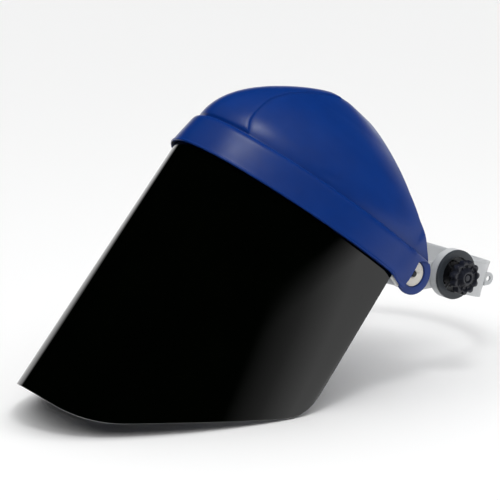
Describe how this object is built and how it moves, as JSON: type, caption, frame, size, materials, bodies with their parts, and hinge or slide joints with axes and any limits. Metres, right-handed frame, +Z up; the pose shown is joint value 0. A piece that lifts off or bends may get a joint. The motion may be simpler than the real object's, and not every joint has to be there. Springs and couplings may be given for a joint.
{
  "type": "face shield",
  "caption": "Hinged visor with a domed crown and a dark curved window on an adjustable ratchet headband, for eye and face protection.",
  "frame": {"origin": "middle of the head opening, halfway between the two visor pivots", "axes": "+Z up for a standing wearer, the wearer looks along -Y, +X is the wearer's left; the visor pivot axis is X"},
  "size_m": [0.196, 0.4005, 0.2172],
  "materials": {
    "shell_blue": "satin moulded blue nylon",
    "window_tint": "polished, very dark green tinted sheet",
    "band_grey": "satin light grey polyethylene",
    "trim_white": "satin white nylon",
    "button_cream": "smooth cream acetal",
    "trim_black": "satin black nylon",
    "knob_black": "satin black nylon",
    "ring_slate": "satin dark slate nylon",
    "washer_rubber": "matt rubber",
    "pin_steel": "bright plated steel",
    "pad_foam": "soft knitted fabric over foam"
  },
  "bodies": {
    "headgear": {"pivot_hub_left": "band_grey", "pivot_hub_right": "band_grey", "pivot_button_left": "button_cream", "pivot_button_right": "button_cream", "friction_washer_left": "washer_rubber", "friction_washer_right": "washer_rubber", "pivot_screw_left": "pin_steel", "pivot_screw_right": "pin_steel", "headband_front": "band_grey", "brow_pad": "pad_foam", "crown_strap_left": "band_grey", "crown_strap_right": "band_grey", "crown_peg_1": "trim_white", "crown_peg_2": "trim_white", "crown_rivet_left": "trim_white", "crown_rivet_right": "trim_white", "strap_keeper": "band_grey", "ratchet_housing": "band_grey", "ratchet_ring": "ring_slate", "pawl_spring": "pin_steel"},
    "visor": {"crown_shell": "shell_blue", "window": "window_tint", "window_stud_1": "trim_black", "window_stud_2": "trim_black", "window_stud_3": "trim_black", "window_stud_4": "trim_black", "window_stud_5": "trim_black", "window_clip_left": "trim_white", "window_clip_right": "trim_white"},
    "knob": {"pinion_shaft": "trim_white", "ratchet_wheel": "trim_black", "ratchet_knob": "knob_black", "knob_screw": "pin_steel"},
    "rear_band": {"rear_strap": "band_grey"}
  },
  "joints": [
    {"name": "visor_pivot", "type": "hinge", "parent": "headgear", "child": "visor", "pos_m": [0, 0, 0], "axis": [-1, 0, 0], "range_deg": [-39.7, 45]},
    {"name": "knob_turn", "type": "hinge", "parent": "headgear", "child": "knob", "pos_m": [0, 0.0426, -0.0074], "axis": [1, 0, 0], "range_deg": [-171.8, 257.8]},
    {"name": "strap_slide", "type": "slide", "parent": "headgear", "child": "rear_band", "axis": [0, 1, 0], "range_m": [-0.012, 0.018]}
  ],
  "couplings": [
    {"joint": "strap_slide", "follows": "knob_turn", "m_per_rad": 0.004}
  ]
}
